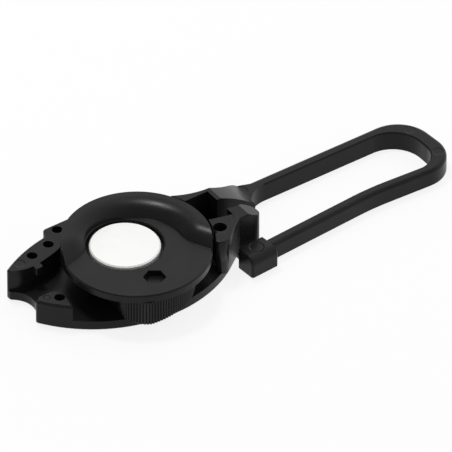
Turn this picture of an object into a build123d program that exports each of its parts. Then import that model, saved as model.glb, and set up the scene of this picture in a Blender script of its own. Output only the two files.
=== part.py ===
"""Drop cable clamp: a moulded body with a long bail, a cam wheel that grips the cable, and a pivot cap.

The origin is the pivot axis on the underside. X points along the bail, Y to the back wall and Z up.
The wheel is drawn in its open position. It closes by turning anticlockwise as seen from above.
"""
import os
from math import atan2, cos, degrees, radians, sin

from build123d import *

# Heights above the underside
plate_thickness = 3.6
back_jaw_height = 11.0
front_jaw_height = 8.9
keeper_height = 15.5
bail_height = 6.5
head_height = 7.6

# Clearances between the pieces
running_clearance = 0.06
face_clearance = 0.3
stem_clearance = 0.02
swing_clearance = 0.45

# Cam wheel: off-centre flange over a grip edge whose radius grows round the pivot
flange_radius = 23.0
flange_thickness = 2.5
flange_edge = 0.4
flange_shift = 4.1
flange_bearing = -65.0
hub_radius = 13.0
hub_start_bearing = 90.0
hub_end_bearing = 172.0
grip_height = 8.3
grip_reach = 26.4
grip_bearing = -107.0
nose_radius = 9.0
nose_turn = 90.0
ridge_pitch = 1.0
ridge_depth = 0.35
wheel_travel = 50.0

# Thumb crest: a round-backed ridge over the back of the flange, whose foot turns out to the rim at both ends
crest_height = 3.8
crest_foot_radius = 14.8
crest_rise = 6.5
crest_start_bearing = -7.0
crest_end_bearing = 138.0
crest_foot_lean = 1.0
crest_corner_margin = 2.2
crest_overlap = 0.2
crest_end_turn = 34.0
crest_sink = 0.6

# Blind hexagon recess in the flange
hex_across_flats = 6.2
hex_depth = 1.9
hex_distance = 18.0
hex_bearing = -95.0
hex_turn = -35.0

# Spindle and cap
spindle_radius = 7.0
stem_radius = 4.0
stem_length = 7.0
stem_room = 0.6
cap_radius = 10.9
cap_thickness = 2.2
cap_gap = 1.1
cap_edge = 0.4
cap_hole_edge = 0.35

# Leaf-shaped plate: a front arc, a back arc, the cable mouth and the neck at the bail
mouth_x = -33.6
front_tip_y = -0.8
back_tip_y = 12.4
mouth_depth = 3.6
leaf_front = -21.6
leaf_front_x = 4.2
leaf_back = 21.6
leaf_back_x = -4.0
leaf_end_x = 36.0
leaf_end_front = -7.7
leaf_end_back = 7.1
neck_x = 22.3
neck_y = 11.9
tip_width = 1.9
corner_radius = 1.0
plate_edge = 0.7

# Cable channel and back wall
cable_room = 6.8
grip_wall_bearing = 134.0
jaw_bend_x = -26.0
jaw_bend_y = 11.1
jaw_rise_x = -20.0
jaw_rise_y = 12.1
wall_pad_start = -14.5
wall_pad_end = 12.0
wall_pad_back = 23.8
wall_pad_corner = 1.8
wall_edge = 0.5
chamber_radius = 25.8

# Hooked tooth that keeps the cable under the back jaw
tooth_length = 2.5
tooth_reach = 1.8
tooth_height = 2.6
tooth_corner = 0.6

# Front jaw
front_jaw_back = 0.0
front_jaw_end = -23.8
front_jaw_lean = 2.4
front_jaw_corner = 3.2
front_jaw_edge = 0.7

# Round blind holes in the tops of the jaws and the keeper block
pin_hole_radius = 1.65
pin_hole_depth = 6.0
back_pin_places = ((-23.4, 15.5), (-16.3, 17.2), (-10.1, 21.5))
front_pin_place = (-26.5, -3.65)
keeper_hole_radius = 2.1
keeper_hole_depth = 9.0
keeper_hole_place = (27.8, -10.4)

# Keeper block: pocket for the T-head, slit for the bail, nose in front and lip behind
keeper_start = 14.0
keeper_ledge = 0.6
keeper_tip_radius = 0.6
keeper_edge = 0.5
pocket_near = 26.4
pocket_far = 34.6
pocket_back = 6.0
pocket_front = -7.6
pocket_front_rise = 2.2
slit_back = 0.9
slit_front = -4.4
nose_tip_x = 43.7
nose_width = 6.2
nose_slope_x = 38.5
nose_tip_drop = 2.7
lip_slope_x = 36.0
lip_knee_x = 44.5
lip_knee_z = 11.6
lip_fall_x = 46.0
lip_fall_z = 9.3
lip_slope_end_x = 50.0
lip_end_x = 48.8
lip_end_y = 3.2
lip_pad_x = 50.0
lip_pad_y = 12.1
lip_root_x = 57.0

# Bail: one flat strip in a long loop, wider round its bow
bail_width = 3.4
bail_round = 1.2
bail_foot = 0.7
bail_inner_edge = 0.4
bail_root_x = 51.0
back_arm_y = 9.85
bow_back_x = 112.0
bow_front_x = 114.4
bow_inner_x = 108.3
bow_back_radius = 11.7
bow_front_radius = 10.2
bow_inner_back_radius = 10.3
bow_inner_front_radius = 7.0
front_arm_y = -14.5
front_bend_x = 82.0
front_bend_y = -12.9
front_bend_radius = 90.0
head_x = 40.0
arm_end_y = -16.0

# T-head on the free end of the bail
head_length = 10.2
head_overlap = 2.0
head_width = 7.3
head_shift = 1.1
head_front_round = 2.6
head_corner = 0.6
head_foot = 0.8

# Levels and radii that follow from the sizes above
wheel_bottom = plate_thickness + face_clearance
flange_bottom = wheel_bottom + grip_height
flange_top = flange_bottom + flange_thickness
spindle_top = flange_bottom + face_clearance
crest_top = flange_top + crest_height
crest_width = flange_radius - crest_foot_radius
crest_corner_radius = crest_width + crest_corner_margin
crest_reach = crest_width + crest_overlap
crest_span = crest_end_bearing - crest_start_bearing
cap_hole_radius = cap_radius + cap_gap
grip_wall_radius = hub_radius + cable_room
recess_floor = flange_bottom - face_clearance
flange_room = flange_radius + swing_clearance
jaw_end_y = back_tip_y + tip_width
chamber_y = grip_wall_radius - chamber_radius
slit_middle = (slit_back + slit_front) / 2
nose_front = slit_front - nose_width
arm_outer = back_arm_y + bail_width / 2
arm_inner = back_arm_y - bail_width / 2
far_x = lip_root_x + leaf_end_x
far_y = 2 * wall_pad_back


def polar(radius, bearing):
    """Point at a distance and a bearing from the pivot."""
    return Vector(radius * cos(radians(bearing)), radius * sin(radians(bearing)))


def grip_radius(bearing):
    """Radius of the grip edge, which shrinks evenly from the nose to the hub."""
    share = (bearing - grip_bearing) / (hub_start_bearing - grip_bearing)
    return grip_reach + share * (hub_radius - grip_reach)


def flange_centre(turn):
    """Centre of the off-centre flange after the wheel has turned from its open position."""
    return polar(flange_shift, flange_bearing + turn)


# Cam wheel: line of the ridged grip edge, from the hub round the nose and along the spiral
grip_rate = (hub_radius - grip_reach) / radians(hub_start_bearing - grip_bearing)
grip_span = hub_start_bearing - grip_bearing
nose_start = polar(grip_reach, grip_bearing)
nose_inward = grip_bearing + 180 + degrees(atan2(grip_rate, grip_reach))
nose_centre = nose_start + polar(nose_radius, nose_inward)
spiral_steps = 12
spiral_bearings = [grip_bearing + grip_span * step / spiral_steps for step in range(spiral_steps + 1)]

with BuildLine() as grip_line:
    nose = CenterArc(nose_centre, nose_radius, nose_inward + 180 - nose_turn, nose_turn)
    Line(polar(hub_radius, hub_end_bearing), nose @ 0)
    Spline([polar(grip_radius(bearing), bearing) for bearing in spiral_bearings])

grip_wire = grip_line.wire()
if (grip_wire @ 0 - polar(hub_radius, hub_end_bearing)).length > ridge_depth:
    grip_wire = -grip_wire
ridge_count = round(grip_wire.length / ridge_pitch)
ridge_points = [polar(hub_radius, hub_end_bearing)]
for ridge in range(1, 2 * ridge_count):
    share = ridge / (2 * ridge_count)
    inward = (grip_wire % share).rotate(Axis.Z, 90)
    ridge_points.append(grip_wire @ share + inward * ridge_depth * (ridge % 2))
ridge_points.append(polar(hub_radius, hub_start_bearing))

# Thumb crest: its foot follows a circle round the flange's centre and turns out to the rim at each end
open_centre = flange_centre(0)
flange_axis = Axis((open_centre.X, open_centre.Y, 0), (0, 0, 1))
flange_section = Plane(origin=(open_centre.X, open_centre.Y, 0), x_dir=(1, 0, 0), z_dir=(0, -1, 0))

with BuildLine() as crest_foot:
    round_foot = CenterArc(open_centre, crest_foot_radius, crest_start_bearing, crest_span)
    start_turn = JernArc(round_foot @ 0, -(round_foot % 0), crest_corner_radius, crest_end_turn)
    Line(start_turn @ 1, start_turn @ 1 + (start_turn % 1) * crest_foot_radius)
    end_turn = JernArc(round_foot @ 1, round_foot % 1, crest_corner_radius, -crest_end_turn)
    Line(end_turn @ 1, end_turn @ 1 + (end_turn % 1) * crest_foot_radius)

foot_wire = crest_foot.wire().moved(Location((0, 0, flange_top)))
if (foot_wire @ 0).Y > (foot_wire @ 1).Y:
    foot_wire = -foot_wire

with BuildPart() as thumb_crest:
    with BuildSketch(Plane(foot_wire @ 0, x_dir=(0, 0, 1), z_dir=foot_wire % 0)):
        with BuildLine():
            Bezier(
                (0, 0),
                (crest_height / 2, crest_foot_lean),
                (crest_height, crest_rise / 2),
                (crest_height, crest_rise),
            )
            Polyline(
                (crest_height, crest_rise),
                (crest_height, crest_reach),
                (-crest_sink, crest_reach),
                (-crest_sink, 0),
                (0, 0),
            )
        make_face()
    sweep(path=foot_wire)
    with BuildSketch(flange_section):
        with Locations((0, flange_top - crest_sink)):
            Rectangle(flange_radius, crest_height + crest_sink, align=(Align.MIN, Align.MIN))
    revolve(axis=flange_axis, mode=Mode.INTERSECT)

with BuildPart() as cam_wheel:
    # Ridged grip edge and plain hub
    with BuildSketch(Plane.XY.offset(wheel_bottom)):
        with BuildLine():
            Polyline(*ridge_points)
            CenterArc((0, 0), hub_radius, hub_start_bearing, hub_end_bearing - hub_start_bearing)
        make_face()
    extrude(amount=grip_height)
    # Flange with a broken upper edge, and the crest on it
    with BuildSketch(flange_section) as flange_profile:
        with Locations((0, flange_bottom)):
            Rectangle(flange_radius, flange_thickness, align=(Align.MIN, Align.MIN))
        chamfer(flange_profile.vertices().group_by(Axis.X)[-1].sort_by(Axis.Y)[-1], flange_edge)
    revolve(axis=flange_axis)
    add(thumb_crest.part)
    # Counterbore for the cap with a broken edge, bore for the spindle and the hexagon recess
    with BuildSketch(Plane.XZ):
        with BuildLine():
            Polyline(
                (0, flange_bottom),
                (cap_hole_radius, flange_bottom),
                (cap_hole_radius, flange_top - cap_hole_edge),
                (cap_hole_radius + cap_hole_edge, flange_top),
                (cap_hole_radius + cap_hole_edge, crest_top + crest_height),
                (0, crest_top + crest_height),
                close=True,
            )
        make_face()
    revolve(axis=Axis.Z, mode=Mode.SUBTRACT)
    with BuildSketch(Plane.XY.offset(wheel_bottom)):
        Circle(spindle_radius + running_clearance)
    extrude(amount=grip_height, mode=Mode.SUBTRACT)
    with BuildSketch(Plane.XY.offset(flange_top)):
        with Locations(polar(hex_distance, hex_bearing)):
            RegularPolygon(hex_across_flats / 2, 6, major_radius=False, rotation=hex_turn)
    extrude(amount=-hex_depth, mode=Mode.SUBTRACT)
cam_wheel.part.label = "cam_wheel"

# Clamp body: plan of the leaf-shaped plate
with BuildSketch() as leaf:
    with BuildLine():
        back_edge = ThreePointArc((mouth_x, jaw_end_y), (leaf_back_x, leaf_back), (neck_x, neck_y))
        TangentArc(back_edge @ 1, (leaf_end_x, leaf_end_back), tangent=back_edge % 1)
        Line((leaf_end_x, leaf_end_back), (leaf_end_x, leaf_end_front))
        TangentArc((leaf_front_x, leaf_front), (leaf_end_x, leaf_end_front), tangent=(1, 0))
        TangentArc((leaf_front_x, leaf_front), (mouth_x, front_tip_y), tangent=(-1, 0))
        ThreePointArc(
            (mouth_x, front_tip_y),
            (mouth_x + mouth_depth, (front_tip_y + back_tip_y) / 2),
            (mouth_x, back_tip_y),
        )
        Line((mouth_x, back_tip_y), (mouth_x, jaw_end_y))
    make_face()
    fillet(leaf.vertices().group_by(Axis.X)[0], corner_radius)

# Clamp body: plan of everything behind the cable channel and the wheel's chamber
wall_start = polar(grip_wall_radius, grip_wall_bearing)
with BuildSketch() as behind_channel:
    with BuildLine():
        Spline(
            (mouth_x - corner_radius, jaw_end_y),
            (jaw_bend_x, jaw_bend_y),
            (jaw_rise_x, jaw_rise_y),
            wall_start,
            (0, grip_wall_radius),
            tangents=((1, -1), (1, 0)),
        )
        chamber = CenterArc((0, chamber_y), chamber_radius, 90, -180)
        Polyline(
            chamber @ 1,
            (far_x, (chamber @ 1).Y),
            (far_x, far_y),
            (mouth_x - corner_radius, far_y),
            (mouth_x - corner_radius, jaw_end_y),
        )
    make_face()

# Clamp body: nose and lip, which stand past the plate on both sides of the slit
with BuildSketch() as nose_and_lip:
    with Locations((nose_tip_x - nose_width / 2, slit_front - nose_width / 2)):
        Circle(nose_width / 2)
        Rectangle(nose_tip_x - nose_width / 2 - pocket_far, nose_width, align=(Align.MAX, Align.CENTER))
    with BuildLine():
        Polyline(
            (leaf_end_x, leaf_end_back),
            (leaf_end_x, slit_back),
            (lip_end_x, slit_back),
            (lip_end_x, lip_end_y),
        )
        TangentArc((lip_root_x, arm_inner), (lip_end_x, lip_end_y), tangent=(-1, 0))
        Line((lip_root_x, arm_inner), (lip_root_x, arm_outer - bail_round))
        Spline(
            (lip_root_x, arm_outer - bail_round),
            (lip_pad_x, lip_pad_y),
            (leaf_end_x, leaf_end_back),
            tangents=((-1, 0), (-1, 0)),
        )
    make_face()

# Clamp body: back jaw and grip wall, with the thicker pad behind the wheel and the tooth over the channel
with BuildPart() as back_wall:
    with BuildSketch(Plane.XY.offset(plate_edge)) as back_wall_plan:
        with Locations(((wall_pad_start + wall_pad_end) / 2, wall_pad_back / 2)):
            RectangleRounded(wall_pad_end - wall_pad_start, wall_pad_back, wall_pad_corner)
        add(leaf.sketch)
        add(behind_channel.sketch, mode=Mode.INTERSECT)
        Rectangle(2 * far_x, far_y, align=(Align.CENTER, Align.MIN), mode=Mode.INTERSECT)
    extrude(amount=back_jaw_height - plate_edge)
    with BuildSketch(Plane.XY.offset(back_jaw_height - tooth_height)):
        with Locations((jaw_bend_x + tooth_length / 2, jaw_bend_y)):
            RectangleRounded(tooth_length, 2 * tooth_reach, tooth_corner)
    extrude(amount=tooth_height)
    wall_top_edges = back_wall.edges().group_by(Axis.Z)[-1]
    jaw_edges = wall_top_edges.filter_by_position(Axis.X, mouth_x, wall_pad_start)
    chamfer(jaw_edges.filter_by_position(Axis.Y, jaw_end_y, leaf_back), wall_edge)

# Clamp body: front jaw with a rounded top
with BuildPart() as front_jaw:
    with BuildSketch(Plane.XY.offset(plate_edge)) as front_jaw_plan:
        with BuildLine():
            Polyline(
                (mouth_x - corner_radius, front_jaw_back),
                (front_jaw_end, front_jaw_back),
                (front_jaw_end - front_jaw_lean, leaf_front / 2),
                (mouth_x - corner_radius, leaf_front / 2),
                close=True,
            )
        make_face()
        fillet(front_jaw_plan.vertices().group_by(Axis.X)[-1], front_jaw_corner)
        add(leaf.sketch, mode=Mode.INTERSECT)
    extrude(amount=front_jaw_height - plate_edge)
    round_edges = front_jaw.edges().group_by(Axis.Z)[-1].filter_by(GeomType.CIRCLE)
    chamfer(round_edges.sort_by(SortBy.RADIUS)[-1], front_jaw_edge)

# Clamp body: keeper block with its front wall set back on the plate
with BuildPart() as keeper:
    with BuildSketch(Plane.XY.offset(plate_edge)) as keeper_plan:
        add(leaf.sketch)
        add(leaf.sketch.moved(Location((0, keeper_ledge, 0))), mode=Mode.INTERSECT)
        with Locations((keeper_start, 0)):
            Rectangle(leaf_end_x, 2 * far_y, align=(Align.MIN, Align.CENTER), mode=Mode.INTERSECT)
        add(behind_channel.sketch, mode=Mode.INTERSECT)
        fillet(keeper_plan.vertices().sort_by(Axis.Y)[0], keeper_tip_radius)
        add(nose_and_lip.sketch)
    extrude(amount=keeper_height - plate_edge)
    top_edges = keeper.edges().group_by(Axis.Z)[-1]
    front_edges = top_edges.filter_by(lambda edge: edge.center().Y < nose_front + keeper_ledge)
    chamfer(front_edges, keeper_edge)

# Clamp body: bail, cut from a filled loop so that its bow is wider than its arms
with BuildPart() as bail:
    with BuildSketch():
        with BuildLine():
            outside = FilletPolyline(
                (bail_root_x, arm_outer),
                (bow_back_x, arm_outer),
                (bow_front_x, front_arm_y - bail_width / 2),
                (front_bend_x, front_bend_y - bail_width / 2),
                (head_x, arm_end_y - bail_width / 2),
                radius=(bow_back_radius, bow_front_radius, front_bend_radius),
            )
            Line(outside @ 1, outside @ 0)
        make_face()
    extrude(amount=bail_height)
    level_edges = bail.edges().filter_by(Axis.Z, reverse=True)
    outer_edges = level_edges.filter_by_position(Axis.X, bail_root_x, bow_front_x)
    fillet(outer_edges.group_by(Axis.Z)[-1], bail_round)
    chamfer(outer_edges.group_by(Axis.Z)[0], bail_foot)
    with BuildSketch():
        with BuildLine():
            inside = FilletPolyline(
                (bail_root_x, arm_inner),
                (bow_inner_x, arm_inner),
                (bow_inner_x, front_arm_y + bail_width / 2),
                (front_bend_x, front_bend_y + bail_width / 2),
                (head_x, arm_end_y + bail_width / 2),
                radius=(bow_inner_back_radius, bow_inner_front_radius, front_bend_radius),
            )
            Polyline(
                inside @ 1,
                (head_x - bail_width, arm_end_y),
                (head_x - bail_width, arm_inner),
                inside @ 0,
            )
        make_face()
    extrude(amount=bail_height, mode=Mode.SUBTRACT)
    chamfer(bail.edges(Select.LAST).group_by(Axis.Z)[-1], bail_inner_edge)

# Clamp body: T-head across the free end of the bail
arm_angle = degrees(atan2(front_bend_y - arm_end_y, front_bend_x - head_x))
head_plane = Plane(
    origin=(head_x + head_overlap, arm_end_y - head_shift, 0),
    x_dir=(cos(radians(arm_angle)), sin(radians(arm_angle)), 0),
    z_dir=(0, 0, 1),
)
with BuildPart() as t_head:
    with BuildSketch(head_plane):
        Rectangle(head_length, head_width, align=(Align.MAX, Align.CENTER))
    extrude(amount=head_height)
    fillet(t_head.edges().group_by(Axis.Z)[-1].sort_by(Axis.Y)[0], head_front_round)
    chamfer(t_head.edges().filter_by(Axis.Z), head_corner)
    chamfer(t_head.edges().group_by(Axis.Z)[0], head_foot)

with BuildPart() as clamp_body:
    # Base plate with a broken lower edge, and all that stands on it
    add(leaf.sketch)
    extrude(amount=plate_thickness)
    chamfer(clamp_body.edges().group_by(Axis.Z)[0].sort_by(Axis.Y)[0], plate_edge)
    add(nose_and_lip.sketch)
    extrude(amount=plate_thickness)
    add(back_wall.part)
    add(front_jaw.part)
    add(keeper.part)
    # Room for the flange over the keeper block, open and closed
    for turn in (0, wheel_travel):
        with BuildSketch(Plane.XY.offset(recess_floor)):
            with Locations(flange_centre(turn)):
                Circle(flange_room)
        extrude(amount=keeper_height, mode=Mode.SUBTRACT)
    # Sloping tops of the nose and the lip
    with BuildSketch(Plane.XZ.offset(-slit_middle)):
        with BuildLine():
            Bezier(
                (lip_slope_x, keeper_height),
                (lip_knee_x, lip_knee_z),
                (lip_fall_x, lip_fall_z),
                (lip_slope_end_x, bail_height),
            )
            Polyline(
                (lip_slope_end_x, bail_height),
                (far_x, bail_height),
                (far_x, 2 * keeper_height),
                (lip_slope_x, 2 * keeper_height),
                (lip_slope_x, keeper_height),
            )
        make_face()
    extrude(amount=-far_y, mode=Mode.SUBTRACT)
    with BuildSketch(Plane.XZ.offset(-slit_middle)):
        with BuildLine():
            Polyline(
                (nose_slope_x, keeper_height),
                (nose_tip_x, keeper_height - nose_tip_drop),
                (far_x, keeper_height - nose_tip_drop),
                (far_x, 2 * keeper_height),
                (nose_slope_x, 2 * keeper_height),
                close=True,
            )
        make_face()
    extrude(amount=far_y, mode=Mode.SUBTRACT)
    # Pocket for the T-head and slit for the bail
    with BuildSketch(Plane.XY.offset(plate_thickness)):
        with BuildLine():
            Polyline(
                (pocket_near, pocket_back),
                (pocket_far, pocket_back),
                (pocket_far, pocket_front),
                (pocket_near, pocket_front + pocket_front_rise),
                close=True,
            )
        make_face()
        with Locations((pocket_far, slit_middle)):
            Rectangle(nose_tip_x - pocket_far, slit_back - slit_front, align=(Align.MIN, Align.CENTER))
    extrude(amount=keeper_height, mode=Mode.SUBTRACT)
    # Blind holes
    with BuildSketch(Plane.XY.offset(back_jaw_height)):
        with Locations(*back_pin_places):
            Circle(pin_hole_radius)
    extrude(amount=-pin_hole_depth, mode=Mode.SUBTRACT)
    with BuildSketch(Plane.XY.offset(front_jaw_height)):
        with Locations(front_pin_place):
            Circle(pin_hole_radius)
    extrude(amount=-pin_hole_depth, mode=Mode.SUBTRACT)
    with BuildSketch(Plane.XY.offset(keeper_height)):
        with Locations(keeper_hole_place):
            Circle(keeper_hole_radius)
    extrude(amount=-keeper_hole_depth, mode=Mode.SUBTRACT)
    # Spindle with the bore for the cap's stem
    with BuildSketch():
        Circle(spindle_radius)
    extrude(amount=spindle_top)
    with BuildSketch(Plane.XY.offset(spindle_top)):
        Circle(stem_radius + stem_clearance)
    extrude(amount=-stem_length - stem_room, mode=Mode.SUBTRACT)
    # Bail and T-head
    add(bail.part)
    add(t_head.part)
clamp_body.part.label = "clamp_body"

# Pivot cap: a flat button on a stem
with BuildPart() as pivot_cap:
    with BuildSketch(Plane.XY.offset(spindle_top)):
        Circle(cap_radius)
    extrude(amount=cap_thickness)
    chamfer(pivot_cap.edges().group_by(Axis.Z)[-1], cap_edge)
    with BuildSketch(Plane.XY.offset(spindle_top)):
        Circle(stem_radius)
    extrude(amount=-stem_length)
pivot_cap.part.label = "pivot_cap"

os.makedirs("parts", exist_ok=True)
export_step(clamp_body.part, "parts/clamp_body.step")
export_step(cam_wheel.part, "parts/cam_wheel.step")
export_step(pivot_cap.part, "parts/pivot_cap.step")
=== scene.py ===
import bmesh
import bpy
import math
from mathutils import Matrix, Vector


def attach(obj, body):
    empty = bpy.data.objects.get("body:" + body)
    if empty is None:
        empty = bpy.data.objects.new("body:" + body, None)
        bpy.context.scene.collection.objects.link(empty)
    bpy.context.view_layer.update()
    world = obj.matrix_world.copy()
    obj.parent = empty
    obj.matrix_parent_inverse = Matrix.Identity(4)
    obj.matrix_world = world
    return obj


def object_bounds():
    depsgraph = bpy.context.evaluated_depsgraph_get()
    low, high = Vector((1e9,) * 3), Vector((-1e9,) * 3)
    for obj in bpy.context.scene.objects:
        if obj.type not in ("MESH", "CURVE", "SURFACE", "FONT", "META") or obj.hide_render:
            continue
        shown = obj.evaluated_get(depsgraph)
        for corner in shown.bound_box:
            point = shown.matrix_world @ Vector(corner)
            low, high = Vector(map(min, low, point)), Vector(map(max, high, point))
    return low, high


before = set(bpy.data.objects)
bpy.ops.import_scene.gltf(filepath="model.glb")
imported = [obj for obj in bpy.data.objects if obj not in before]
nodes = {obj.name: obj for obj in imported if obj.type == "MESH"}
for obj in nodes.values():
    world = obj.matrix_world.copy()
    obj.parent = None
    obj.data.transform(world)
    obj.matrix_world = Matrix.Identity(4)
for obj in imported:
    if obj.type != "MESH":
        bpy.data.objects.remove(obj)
cad_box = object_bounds()

# Clamp body: plate, jaws, keeper block and bail are one injection moulding.
# It is carbon-black polyamide as it left the tool, unpainted, with a fine spark-eroded satin grain.
# Ejector pins left shallow round marks in the tops of the jaws, the bail and the T-head.
MM = 0.001
NYLON_BLACK = "141415"
NYLON_FLOW = "1b1b1d"
NYLON_IOR = 1.53
NYLON_GLOSS = 0.15
NYLON_ROUGH = (0.27, 0.31)
NYLON_FLOW_SPAN = (0.35, 0.70)
NYLON_FLOW_MM = 14.0
NYLON_FLOW_DETAIL = 3.0
NYLON_SHEEN_MM = 3.0
NYLON_GRAIN_MM = 0.30
NYLON_GRAIN_DEPTH_MM = 0.012
NYLON_EDGE_MM = 0.12
NOISE_DETAIL = 2.0
NOISE_SPAN = (0.3, 0.7)
SHADER_SAMPLES = 8
MARK_DEPTH_MM = 0.4
MARK_WALL_MM = 0.3
MARK_FLATNESS = 8.0
BODY_MARKS_MM = (
    ((-28.65, 14.55, 11.0), 1.8),
    ((-29.7, -1.5, 8.9), 1.2),
    ((49.4, 9.6, 6.5), 2.3),
    ((109.1, 4.5, 6.5), 1.8),
    ((109.9, -9.1, 6.5), 1.8),
    ((37.0, -16.6, 7.6), 2.4),
)


def linear(hex_colour):
    """sRGB hex to a linear RGBA tuple."""
    channels = [int(hex_colour[i:i + 2], 16) / 255 for i in (0, 2, 4)]
    return tuple(c / 12.92 if c <= 0.04045 else ((c + 0.055) / 1.055) ** 2.4 for c in channels) + (1.0,)


def add(tree, kind, links=None, sockets=None, **settings):
    """One shader node with its properties, socket values and links."""
    node = tree.nodes.new(kind)
    for name, value in settings.items():
        setattr(node, name, value)
    for name, value in (sockets or {}).items():
        node.inputs[name].default_value = value
    for name, source in (links or {}).items():
        tree.links.new(source, node.inputs[name])
    return node


def moulded_nylon(name, marks_mm):
    """Black polyamide, moulded: a satin skin with a fine grain, faint paler flow and soft edges."""
    material = bpy.data.materials.new(name)
    material.use_nodes = True
    tree = material.node_tree
    tree.nodes.clear()
    place = add(tree, "ShaderNodeTexCoord").outputs["Object"]
    flow = add(
        tree,
        "ShaderNodeTexNoise",
        {"Vector": place},
        {"Scale": 1 / (NYLON_FLOW_MM * MM), "Detail": NYLON_FLOW_DETAIL},
    )
    sheen = add(
        tree,
        "ShaderNodeTexNoise",
        {"Vector": place},
        {"Scale": 1 / (NYLON_SHEEN_MM * MM), "Detail": NOISE_DETAIL},
    )
    grain = add(
        tree,
        "ShaderNodeTexNoise",
        {"Vector": place},
        {"Scale": 1 / (NYLON_GRAIN_MM * MM), "Detail": NOISE_DETAIL},
    )
    colour = add(tree, "ShaderNodeValToRGB", {"Fac": flow.outputs["Fac"]})
    colour.color_ramp.elements[0].position = NYLON_FLOW_SPAN[0]
    colour.color_ramp.elements[0].color = linear(NYLON_BLACK)
    colour.color_ramp.elements[1].position = NYLON_FLOW_SPAN[1]
    colour.color_ramp.elements[1].color = linear(NYLON_FLOW)
    satin = add(
        tree,
        "ShaderNodeMapRange",
        {"Value": sheen.outputs["Fac"]},
        {
            "From Min": NOISE_SPAN[0],
            "From Max": NOISE_SPAN[1],
            "To Min": NYLON_ROUGH[0],
            "To Max": NYLON_ROUGH[1],
        },
    )
    soft_edge = add(tree, "ShaderNodeBevel", None, {"Radius": NYLON_EDGE_MM * MM}, samples=SHADER_SAMPLES)
    normal = soft_edge.outputs["Normal"]
    for centre_mm, radius_mm in marks_mm:
        centre = [value * MM for value in centre_mm]
        offset = add(tree, "ShaderNodeVectorMath", {0: place}, {1: centre}, operation="SUBTRACT")
        flat = add(
            tree,
            "ShaderNodeVectorMath",
            {0: offset.outputs[0]},
            {1: (1, 1, MARK_FLATNESS)},
            operation="MULTIPLY",
        )
        distance = add(tree, "ShaderNodeVectorMath", {0: flat.outputs[0]}, operation="LENGTH")
        wall = add(
            tree,
            "ShaderNodeMapRange",
            {"Value": distance.outputs["Value"]},
            {"From Min": (radius_mm - MARK_WALL_MM) * MM, "From Max": radius_mm * MM},
        )
        mark = add(
            tree,
            "ShaderNodeBump",
            {"Height": wall.outputs["Result"], "Normal": normal},
            {"Strength": 1.0, "Distance": MARK_DEPTH_MM * MM},
        )
        normal = mark.outputs["Normal"]
    skin_grain = add(
        tree,
        "ShaderNodeBump",
        {"Height": grain.outputs["Fac"], "Normal": normal},
        {"Strength": 1.0, "Distance": NYLON_GRAIN_DEPTH_MM * MM},
    )
    skin = add(
        tree,
        "ShaderNodeBsdfPrincipled",
        {
            "Base Color": colour.outputs["Color"],
            "Roughness": satin.outputs["Result"],
            "Normal": skin_grain.outputs["Normal"],
        },
        {"IOR": NYLON_IOR, "Specular IOR Level": NYLON_GLOSS},
    )
    add(tree, "ShaderNodeOutputMaterial", {"Surface": skin.outputs["BSDF"]})
    return material


body_nylon = moulded_nylon("moulded_black_nylon_with_pin_marks", BODY_MARKS_MM)
nodes["clamp_body"].data.materials.clear()
nodes["clamp_body"].data.materials.append(body_nylon)

# Keeper tip: the blunt round end of the keeper block, with its front wall as far as the nose.
# It is the body's own moulding and nylon, filled out here over the node's sharper corner and notch.
# Its side keeps clear of the wheel's flange, open and closed.
TIP_PLACE_MM = Vector((25.3, -14.5))
TIP_RADIUS_MM = 2.6
TIP_ROUND_DEGREES = (-54, -260)
TIP_ROUND_STEPS = 32
TIP_FOOT_MM = 3.2
TIP_TOP_MM = 15.52
TIP_EDGE_MM = 0.4
TIP_EDGE_STEPS = 3
LEVEL_FACE = 0.99
WALL_END_MM = Vector((35.0, -10.6))
WALL_INSIDE_MM = (
    Vector((27.65, -13.45)),
    Vector((29.9, -11.87)),
    Vector((32.4, -9.84)),
    Vector((35.0, -8.1)),
)
FLANGE_PLACES_MM = (Vector((1.73, -3.72)), Vector((3.96, -1.06)))
FLANGE_ROOM_MM = 23.5

outside_mm = [WALL_END_MM]
for step in range(TIP_ROUND_STEPS + 1):
    part = step / TIP_ROUND_STEPS
    turn = math.radians(TIP_ROUND_DEGREES[0] * (1 - part) + TIP_ROUND_DEGREES[1] * part)
    spot = TIP_PLACE_MM + Vector((math.cos(turn), math.sin(turn))) * TIP_RADIUS_MM
    for flange_place in FLANGE_PLACES_MM:
        away = spot - flange_place
        spot = flange_place + away.normalized() * max(away.length, FLANGE_ROOM_MM)
    outside_mm.append(spot)
tip_mesh = bpy.data.meshes.new("keeper_tip")
shape = bmesh.new()
ring = []
for spot in (*outside_mm, *WALL_INSIDE_MM):
    ring.append(shape.verts.new((spot.x * MM, spot.y * MM, TIP_FOOT_MM * MM)))
raised = bmesh.ops.extrude_face_region(shape, geom=[shape.faces.new(ring)])["geom"]
top_verts = [item for item in raised if isinstance(item, bmesh.types.BMVert)]
bmesh.ops.translate(shape, vec=(0, 0, (TIP_TOP_MM - TIP_FOOT_MM) * MM), verts=top_verts)
outside = {vert.co.xy.copy().freeze() for vert in ring[:len(outside_mm)]}
top_edges = [item for item in raised if isinstance(item, bmesh.types.BMEdge)]
seen_edges = []
for edge in top_edges:
    if all(vert.co.xy.copy().freeze() in outside for vert in edge.verts):
        seen_edges.append(edge)
bmesh.ops.bevel(
    shape,
    geom=seen_edges,
    offset=TIP_EDGE_MM * MM,
    segments=TIP_EDGE_STEPS,
    profile=0.5,
    affect="EDGES",
)
bmesh.ops.recalc_face_normals(shape, faces=shape.faces[:])
for face in shape.faces:
    face.smooth = abs(face.normal.z) < LEVEL_FACE
shape.to_mesh(tip_mesh)
shape.free()
tip_mesh.materials.append(body_nylon)
tip = bpy.data.objects.new("keeper_tip", tip_mesh)
bpy.context.scene.collection.objects.link(tip)
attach(tip, "body")

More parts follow.
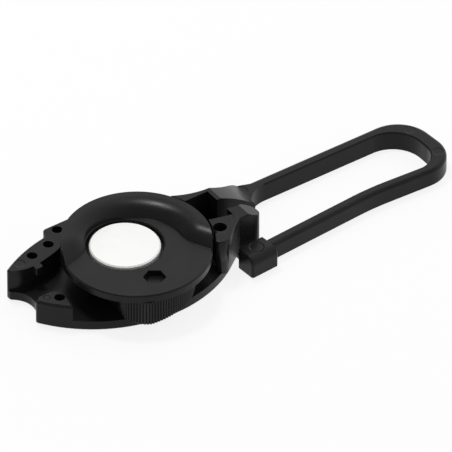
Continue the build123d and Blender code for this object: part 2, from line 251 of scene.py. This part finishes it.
# Cam wheel: flange, thumb crest and ridged grip edge are one moulding of the same black polyamide.
# It drops over the spindle and is free to turn on it.
# Painted shade: an ambient-occlusion mask turns the sheen down in the valleys between its ridges, so the
# ridges stand out as fine lines.
RIDGE_TOP_MM = 11.3
RIDGE_DEPTH_MM = 0.6
# Occlusion span and sheen of the painted shade in the ridge valleys.
RIDGE_SHADE_OCCLUSION = (0.70, 0.96)
RIDGE_PAINTED_SHADE_GLOSS = (0.0, 0.22)

wheel_nylon_with_painted_shade = moulded_nylon("moulded_black_nylon_with_painted_valley_shade", ())
tree = wheel_nylon_with_painted_shade.node_tree
place = add(tree, "ShaderNodeTexCoord").outputs["Object"]
height = add(tree, "ShaderNodeSeparateXYZ", {"Vector": place}).outputs["Z"]
# Painted shade: ambient occlusion over the ridge depth marks the valleys, where shade falls.
valley_occlusion = add(
    tree,
    "ShaderNodeAmbientOcclusion",
    None,
    {"Distance": RIDGE_DEPTH_MM * MM},
    only_local=True,
    samples=SHADER_SAMPLES,
)
painted_valley_shade = add(
    tree,
    "ShaderNodeMapRange",
    {"Value": valley_occlusion.outputs["AO"]},
    {
        "From Min": RIDGE_SHADE_OCCLUSION[0],
        "From Max": RIDGE_SHADE_OCCLUSION[1],
        "To Min": RIDGE_PAINTED_SHADE_GLOSS[0],
        "To Max": RIDGE_PAINTED_SHADE_GLOSS[1],
    },
)
below = add(tree, "ShaderNodeMath", {0: height}, {1: RIDGE_TOP_MM * MM}, operation="LESS_THAN")
gloss = add(
    tree,
    "ShaderNodeMapRange",
    {"Value": below.outputs["Value"], "To Max": painted_valley_shade.outputs["Result"]},
    {"To Min": NYLON_GLOSS},
)
# The painted valley shade sets the specular level below the grip edge's top; above it the sheen stays plain.
tree.links.new(gloss.outputs["Result"], tree.nodes["Principled BSDF"].inputs["Specular IOR Level"])
nodes["cam_wheel"].data.materials.clear()
nodes["cam_wheel"].data.materials.append(wheel_nylon_with_painted_shade)

# Pivot cap: a white acetal button, pressed into the spindle over the wheel.
# Its face is smooth from a polished mould and slightly cloudy.
ACETAL_WHITE = "f4f4f2"
ACETAL_CLOUD = "f1f1ef"
ACETAL_IOR = 1.48
ACETAL_CLOUD_MM = 4.0
ACETAL_POLISH_MM = 0.8
ACETAL_ROUGH = (0.33, 0.37)


def moulded_acetal():
    """White acetal, moulded: smooth, with faint clouds and an uneven polish."""
    material = bpy.data.materials.new("moulded_white_acetal")
    material.use_nodes = True
    tree = material.node_tree
    tree.nodes.clear()
    place = add(tree, "ShaderNodeTexCoord").outputs["Object"]
    cloud = add(
        tree,
        "ShaderNodeTexNoise",
        {"Vector": place},
        {"Scale": 1 / (ACETAL_CLOUD_MM * MM), "Detail": NOISE_DETAIL},
    )
    polish = add(
        tree,
        "ShaderNodeTexNoise",
        {"Vector": place},
        {"Scale": 1 / (ACETAL_POLISH_MM * MM), "Detail": NOISE_DETAIL},
    )
    colour = add(tree, "ShaderNodeValToRGB", {"Fac": cloud.outputs["Fac"]})
    colour.color_ramp.elements[0].position = NOISE_SPAN[0]
    colour.color_ramp.elements[0].color = linear(ACETAL_CLOUD)
    colour.color_ramp.elements[1].position = NOISE_SPAN[1]
    colour.color_ramp.elements[1].color = linear(ACETAL_WHITE)
    gloss = add(
        tree,
        "ShaderNodeMapRange",
        {"Value": polish.outputs["Fac"]},
        {
            "From Min": NOISE_SPAN[0],
            "From Max": NOISE_SPAN[1],
            "To Min": ACETAL_ROUGH[0],
            "To Max": ACETAL_ROUGH[1],
        },
    )
    skin = add(
        tree,
        "ShaderNodeBsdfPrincipled",
        {"Base Color": colour.outputs["Color"], "Roughness": gloss.outputs["Result"]},
        {"IOR": ACETAL_IOR},
    )
    add(tree, "ShaderNodeOutputMaterial", {"Surface": skin.outputs["BSDF"]})
    return material


nodes["pivot_cap"].data.materials.clear()
nodes["pivot_cap"].data.materials.append(moulded_acetal())

# Studio: a plain white floor under the clamp, which shows white to the camera and keeps a faint shadow.
# The room is bright to the right behind the clamp and dim elsewhere, with one soft light above.
FLOOR_SIDE = 8.0
FLOOR_WHITE = "f2f2f2"
FLOOR_GAP_MM = 0.05
FLOOR_GLOW_SHARE = 0.85
PLAIN_WHITE = "ffffff"
ROOM_SIDE = Vector((0.95, 0.31, 0.0))
ROOM_SPAN = (0.0, 0.6)
ROOM_DARK = 0.45
ROOM_BRIGHT = 1.2
LIGHT_WAY = Vector((-0.05, 0.30, 0.95))
LIGHT_DISTANCE = 0.9
LIGHT_SIDE = 0.17
LIGHT_WATTS = 3.2

floor_mesh = bpy.data.meshes.new("floor")
shape = bmesh.new()
bmesh.ops.create_grid(shape, x_segments=1, y_segments=1, size=FLOOR_SIDE / 2)
bmesh.ops.translate(shape, vec=(0, 0, cad_box[0].z - FLOOR_GAP_MM * MM), verts=shape.verts)
shape.to_mesh(floor_mesh)
shape.free()
floor = bpy.data.objects.new("floor", floor_mesh)
bpy.context.scene.collection.objects.link(floor)
paper = bpy.data.materials.new("matte_white_paper")
paper.use_nodes = True
tree = paper.node_tree
tree.nodes.clear()
path = add(tree, "ShaderNodeLightPath").outputs
seen = add(tree, "ShaderNodeMath", {0: path["Is Camera Ray"], 1: path["Is Glossy Ray"]}, operation="MAXIMUM")
seen = add(tree, "ShaderNodeMath", {0: seen.outputs[0], 1: path["Is Transmission Ray"]}, operation="MAXIMUM")
glow_share = add(tree, "ShaderNodeMath", {0: seen.outputs[0]}, {1: FLOOR_GLOW_SHARE}, operation="MULTIPLY")
matte = add(tree, "ShaderNodeBsdfDiffuse", None, {"Color": linear(FLOOR_WHITE)})
glow = add(tree, "ShaderNodeEmission", None, {"Color": linear(PLAIN_WHITE), "Strength": 1.0})
mixed = add(tree, "ShaderNodeMixShader", {0: glow_share.outputs[0], 1: matte.outputs[0], 2: glow.outputs[0]})
add(tree, "ShaderNodeOutputMaterial", {"Surface": mixed.outputs[0]})
floor_mesh.materials.append(paper)

room = bpy.data.worlds.new("room")
bpy.context.scene.world = room
room.use_nodes = True
tree = room.node_tree
tree.nodes.clear()
way = add(tree, "ShaderNodeTexCoord").outputs["Generated"]
toward_back = add(tree, "ShaderNodeVectorMath", {0: way}, {1: ROOM_SIDE}, operation="DOT_PRODUCT")
strength = add(
    tree,
    "ShaderNodeMapRange",
    {"Value": toward_back.outputs["Value"]},
    {"From Min": ROOM_SPAN[0], "From Max": ROOM_SPAN[1], "To Min": ROOM_DARK, "To Max": ROOM_BRIGHT},
)
sky = add(
    tree,
    "ShaderNodeBackground",
    {"Strength": strength.outputs["Result"]},
    {"Color": linear(PLAIN_WHITE)},
)
add(tree, "ShaderNodeOutputWorld", {"Surface": sky.outputs["Background"]})

lamp = bpy.data.lights.new("soft_light_above", "AREA")
lamp.shape = "SQUARE"
lamp.size = LIGHT_SIDE
lamp.energy = LIGHT_WATTS
light = bpy.data.objects.new("soft_light_above", lamp)
light.location = (cad_box[0] + cad_box[1]) / 2 + LIGHT_WAY * LIGHT_DISTANCE
light.rotation_euler = (-LIGHT_WAY).to_track_quat("-Z", "Y").to_euler()
bpy.context.scene.collection.objects.link(light)

# Camera: the photo's view, from the front left and above.
# A long lens from far off keeps the clamp's edges nearly parallel, as they are in the photo.
CAMERA_AIM = Vector((36.37, -1.31, 6.0)) * MM
CAMERA_BACK = Vector((-0.448, -0.639, 0.625)).normalized()
CAMERA_DISTANCE = 5.0
FRAME_WIDTH = 137.1 * MM
SENSOR_WIDTH_IN_MM = 36.0
NEAREST = 0.01
FARTHEST = 30.0

lens = bpy.data.cameras.new("camera")
lens.sensor_width = SENSOR_WIDTH_IN_MM
lens.lens = lens.sensor_width * CAMERA_DISTANCE / FRAME_WIDTH
lens.clip_start = NEAREST
lens.clip_end = FARTHEST
camera = bpy.data.objects.new("camera", lens)
camera.location = CAMERA_AIM + CAMERA_BACK * CAMERA_DISTANCE
camera.rotation_euler = (-CAMERA_BACK).to_track_quat("-Z", "Y").to_euler()
bpy.context.scene.collection.objects.link(camera)
bpy.context.scene.camera = camera
bpy.context.scene.view_settings.view_transform = "Standard"
